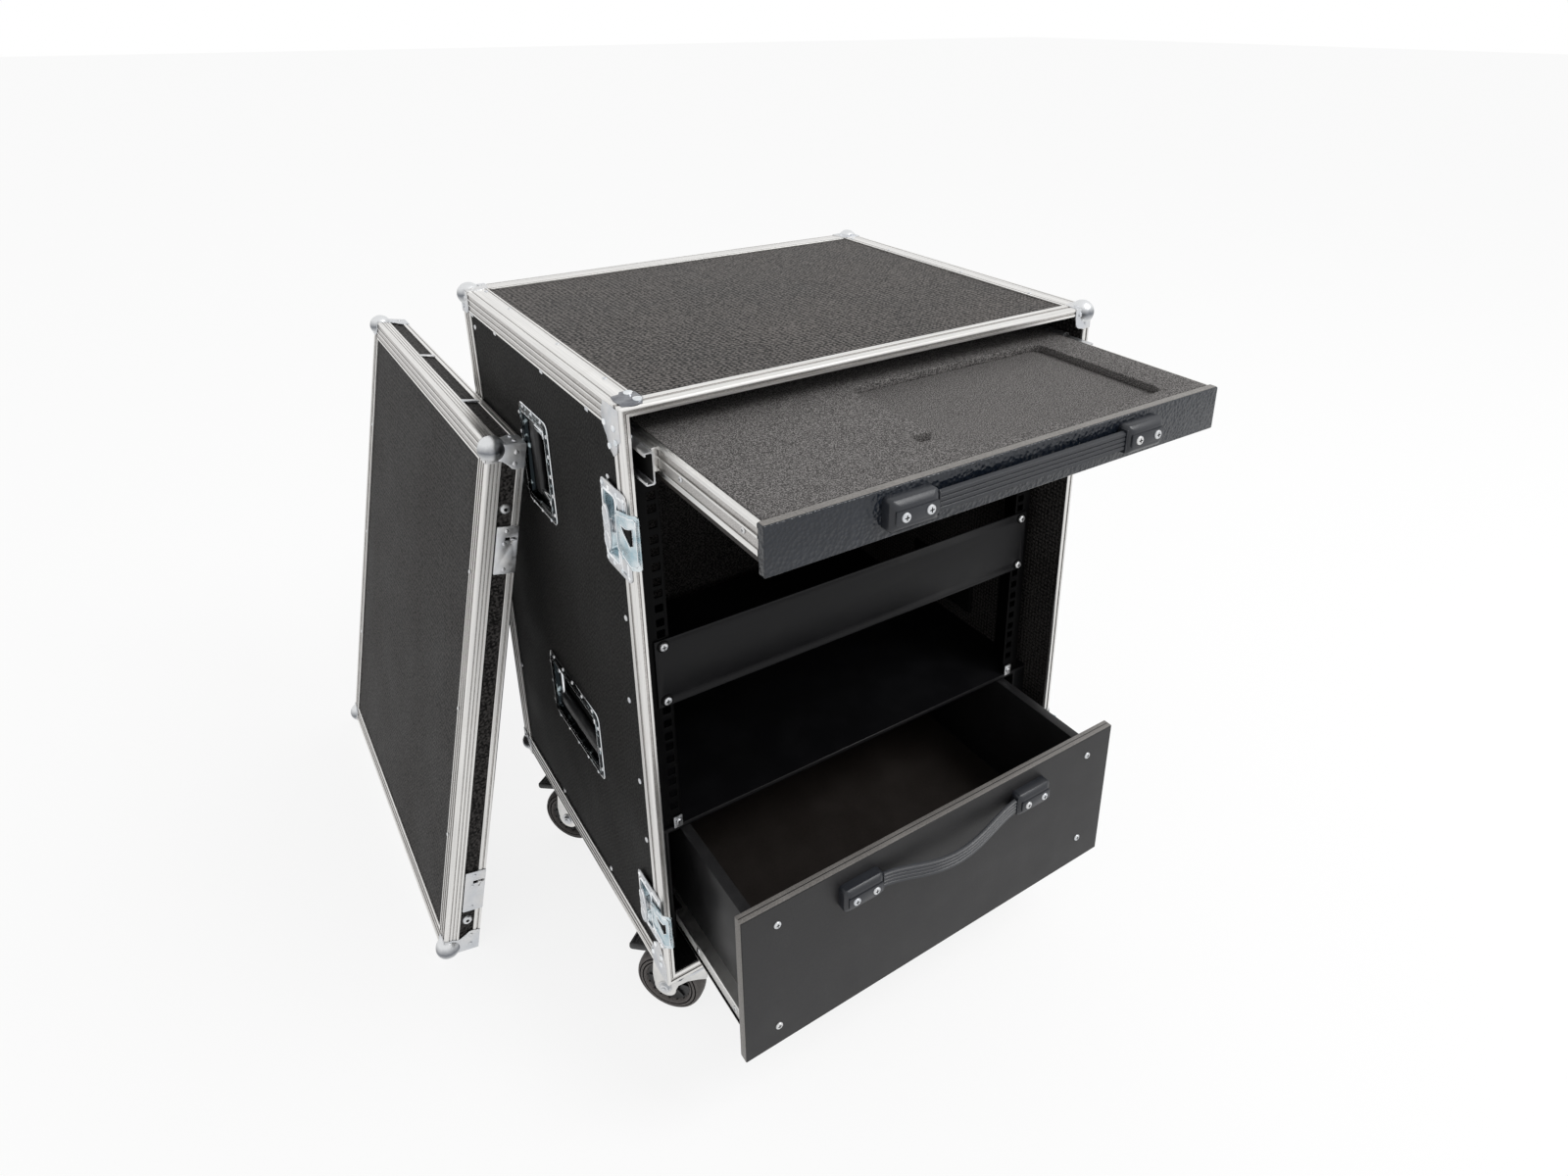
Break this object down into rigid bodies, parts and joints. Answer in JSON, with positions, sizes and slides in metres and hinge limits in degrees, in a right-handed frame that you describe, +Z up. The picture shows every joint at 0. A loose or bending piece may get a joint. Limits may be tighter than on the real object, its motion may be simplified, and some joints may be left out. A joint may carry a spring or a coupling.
{
  "type": "flight case",
  "caption": "Castored rack case with recessed handles, butterfly latches, a pull-out foam-topped shelf, a drawer and a lift-off lid leaning on its side.",
  "frame": {"origin": "centre of the whole model's footprint box, on the floor that the wheels and the leaning lid stand on", "axes": "+X to the case's right as seen from its open front, +Y to its back, +Z up"},
  "size_m": [0.7316, 1.012, 0.771],
  "materials": {
    "black_laminate": "black laminated plywood with a fine linen texture",
    "aluminium": "satin anodised extrusion",
    "bright_zinc": "bright zinc-plated steel with a faint blue cast",
    "black_powder_coat": "fine black powder coat",
    "black_board": "satin dark grey painted board",
    "grey_foam": "speckled dark grey foam",
    "grained_leathercloth": "black pebbled grain",
    "black_rubber": "satin black",
    "grey_tyre": "grey-brown rubber",
    "black_plastic": "satin black moulding"
  },
  "bodies": {
    "case": {"left_side_panel": "black_laminate", "right_side_panel": "black_laminate", "top_panel": "black_laminate", "bottom_panel": "black_laminate", "back_panel": "black_laminate", "upper_edge_frame": "aluminium", "lower_edge_frame": "aluminium", "front_rim_frame": "aluminium", "rack_rail_left": "black_powder_coat", "rack_rail_right": "black_powder_coat", "rack_blank_panel": "black_powder_coat", "drawer_housing": "black_board", "shelf_slide_outer_left": "bright_zinc", "shelf_slide_outer_right": "bright_zinc", "handle_dish_upper_left": "bright_zinc", "handle_dish_upper_right": "bright_zinc", "handle_dish_lower_left": "bright_zinc", "handle_dish_lower_right": "bright_zinc", "latch_plate_upper_left": "bright_zinc", "latch_plate_upper_right": "bright_zinc", "latch_plate_lower_left": "bright_zinc", "latch_plate_lower_right": "bright_zinc", "castor_plate_front_left": "bright_zinc", "castor_plate_rear_left": "bright_zinc", "castor_plate_front_right": "bright_zinc", "castor_plate_rear_right": "bright_zinc"},
    "shelf": {"shelf_frame": "aluminium", "shelf_board": "black_board", "shelf_foam": "grey_foam", "shelf_front": "grained_leathercloth", "shelf_strap_handle": "black_rubber"},
    "shelf_slide_left_middle": {"shelf_slide_middle_left": "bright_zinc"},
    "shelf_slide_right_middle": {"shelf_slide_middle_right": "bright_zinc"},
    "drawer": {"drawer_box": "black_board", "drawer_front": "black_board", "drawer_strap_handle": "black_rubber"},
    "grip_upper_left": {"handle_grip_upper_left": "black_plastic"},
    "grip_upper_right": {"handle_grip_upper_right": "black_plastic"},
    "grip_lower_left": {"handle_grip_lower_left": "black_plastic"},
    "grip_lower_right": {"handle_grip_lower_right": "black_plastic"},
    "wing_upper_left": {"latch_wing_upper_left": "bright_zinc"},
    "hook_upper_left": {"latch_hook_upper_left": "bright_zinc"},
    "wing_upper_right": {"latch_wing_upper_right": "bright_zinc"},
    "hook_upper_right": {"latch_hook_upper_right": "bright_zinc"},
    "wing_lower_left": {"latch_wing_lower_left": "bright_zinc"},
    "hook_lower_left": {"latch_hook_lower_left": "bright_zinc"},
    "wing_lower_right": {"latch_wing_lower_right": "bright_zinc"},
    "hook_lower_right": {"latch_hook_lower_right": "bright_zinc"},
    "fork_front_left": {"castor_fork_front_left": "bright_zinc"},
    "wheel_front_left": {"castor_wheel_front_left": "grey_tyre"},
    "fork_rear_left": {"castor_fork_rear_left": "bright_zinc"},
    "wheel_rear_left": {"castor_wheel_rear_left": "grey_tyre"},
    "fork_front_right": {"castor_fork_front_right": "bright_zinc"},
    "wheel_front_right": {"castor_wheel_front_right": "grey_tyre"},
    "fork_rear_right": {"castor_fork_rear_right": "bright_zinc"},
    "wheel_rear_right": {"castor_wheel_rear_right": "grey_tyre"},
    "pedal_front_left": {"brake_pedal_front_left": "black_plastic"},
    "pedal_rear_left": {"brake_pedal_rear_left": "black_plastic"},
    "lid": {"lid_shell": "black_laminate", "lid_frame": "aluminium"}
  },
  "joints": [
    {"name": "shelf_slide", "type": "slide", "parent": "case", "child": "shelf", "axis": [0, -1, 0], "range_m": [-0.187, 0.1]},
    {"name": "shelf_middle_left_slide", "type": "slide", "parent": "case", "child": "shelf_slide_left_middle", "axis": [0, -1, 0], "range_m": [-0.0945, 0.051]},
    {"name": "shelf_middle_right_slide", "type": "slide", "parent": "case", "child": "shelf_slide_right_middle", "axis": [0, -1, 0], "range_m": [-0.0945, 0.051]},
    {"name": "drawer_slide", "type": "slide", "parent": "case", "child": "drawer", "axis": [0, -1, 0], "range_m": [-0.1064, 0.12]},
    {"name": "grip_upper_left_hinge", "type": "hinge", "parent": "case", "child": "grip_upper_left", "pos_m": [-0.17759, -0.09225, 0.6267], "axis": [0, 0, 1], "range_deg": [0, 90], "stiffness_Nm_per_rad": 0.2},
    {"name": "grip_upper_right_hinge", "type": "hinge", "parent": "case", "child": "grip_upper_right", "pos_m": [0.35241, -0.09225, 0.6267], "axis": [0, 0, -1], "range_deg": [0, 90], "stiffness_Nm_per_rad": 0.2},
    {"name": "grip_lower_left_hinge", "type": "hinge", "parent": "case", "child": "grip_lower_left", "pos_m": [-0.17759, -0.09915, 0.3526], "axis": [0, 1, 0], "range_deg": [0, 90], "stiffness_Nm_per_rad": 0.2},
    {"name": "grip_lower_right_hinge", "type": "hinge", "parent": "case", "child": "grip_lower_right", "pos_m": [0.35241, -0.09915, 0.3526], "axis": [0, -1, 0], "range_deg": [0, 90], "stiffness_Nm_per_rad": 0.2},
    {"name": "wing_upper_left_turn", "type": "hinge", "parent": "case", "child": "wing_upper_left", "pos_m": [-0.18409, -0.2714, 0.6445], "axis": [1, 0, 0], "range_deg": [0, 180]},
    {"name": "hook_upper_left_slide", "type": "slide", "parent": "case", "child": "hook_upper_left", "axis": [0, 1, 0], "range_m": [0, 0.0081]},
    {"name": "wing_upper_right_turn", "type": "hinge", "parent": "case", "child": "wing_upper_right", "pos_m": [0.35891, -0.2714, 0.6445], "axis": [1, 0, 0], "range_deg": [0, 180]},
    {"name": "hook_upper_right_slide", "type": "slide", "parent": "case", "child": "hook_upper_right", "axis": [0, 1, 0], "range_m": [0, 0.0081]},
    {"name": "wing_lower_left_turn", "type": "hinge", "parent": "case", "child": "wing_lower_left", "pos_m": [-0.18409, -0.2714, 0.199], "axis": [1, 0, 0], "range_deg": [0, 180]},
    {"name": "hook_lower_left_slide", "type": "slide", "parent": "case", "child": "hook_lower_left", "axis": [0, 1, 0], "range_m": [0, 0.0081]},
    {"name": "wing_lower_right_turn", "type": "hinge", "parent": "case", "child": "wing_lower_right", "pos_m": [0.35891, -0.2714, 0.199], "axis": [1, 0, 0], "range_deg": [0, 180]},
    {"name": "hook_lower_right_slide", "type": "slide", "parent": "case", "child": "hook_lower_right", "axis": [0, 1, 0], "range_m": [0, 0.0081]},
    {"name": "swivel_front_left", "type": "hinge", "parent": "case", "child": "fork_front_left", "pos_m": [-0.13159, -0.26915, 0.112], "axis": [0, 0, 1], "continuous": true},
    {"name": "roll_front_left", "type": "hinge", "parent": "fork_front_left", "child": "wheel_front_left", "pos_m": [-0.15265, -0.2412, 0.04], "axis": [-0.7986, -0.6018, 0], "continuous": true},
    {"name": "swivel_rear_left", "type": "hinge", "parent": "case", "child": "fork_rear_left", "pos_m": [-0.13159, 0.03635, 0.112], "axis": [0, 0, 1], "continuous": true},
    {"name": "roll_rear_left", "type": "hinge", "parent": "fork_rear_left", "child": "wheel_rear_left", "pos_m": [-0.15265, 0.0643, 0.04], "axis": [-0.7986, -0.6018, 0], "continuous": true},
    {"name": "swivel_front_right", "type": "hinge", "parent": "case", "child": "fork_front_right", "pos_m": [0.30641, -0.26915, 0.112], "axis": [0, 0, 1], "continuous": true},
    {"name": "roll_front_right", "type": "hinge", "parent": "fork_front_right", "child": "wheel_front_right", "pos_m": [0.30033, -0.23468, 0.04], "axis": [-0.9848, -0.1736, 0], "continuous": true},
    {"name": "swivel_rear_right", "type": "hinge", "parent": "case", "child": "fork_rear_right", "pos_m": [0.30641, 0.03635, 0.112], "axis": [0, 0, 1], "continuous": true},
    {"name": "roll_rear_right", "type": "hinge", "parent": "fork_rear_right", "child": "wheel_rear_right", "pos_m": [0.29444, 0.00346, 0.04], "axis": [0.9397, -0.342, 0], "continuous": true},
    {"name": "pedal_front_left_hinge", "type": "hinge", "parent": "fork_front_left", "child": "pedal_front_left", "pos_m": [-0.15205, -0.242, 0.0895], "axis": [-0.7986, -0.6018, 0], "range_deg": [0, 8]},
    {"name": "pedal_rear_left_hinge", "type": "hinge", "parent": "fork_rear_left", "child": "pedal_rear_left", "pos_m": [-0.15205, 0.0635, 0.0895], "axis": [-0.7986, -0.6018, 0], "range_deg": [0, 8]},
    {"name": "lid_stand_off", "type": "slide", "parent": "case", "child": "lid", "axis": [-1, 0, 0], "range_m": [0, 0.15]}
  ],
  "couplings": [
    {"joint": "shelf_middle_left_slide", "follows": "shelf_slide", "ratio": 0.5},
    {"joint": "shelf_middle_right_slide", "follows": "shelf_slide", "ratio": 0.5},
    {"joint": "hook_upper_left_slide", "follows": "wing_upper_left_turn", "m_per_rad": 0.002546},
    {"joint": "hook_upper_right_slide", "follows": "wing_upper_right_turn", "m_per_rad": 0.002546},
    {"joint": "hook_lower_left_slide", "follows": "wing_lower_left_turn", "m_per_rad": 0.002546},
    {"joint": "hook_lower_right_slide", "follows": "wing_lower_right_turn", "m_per_rad": 0.002546}
  ]
}
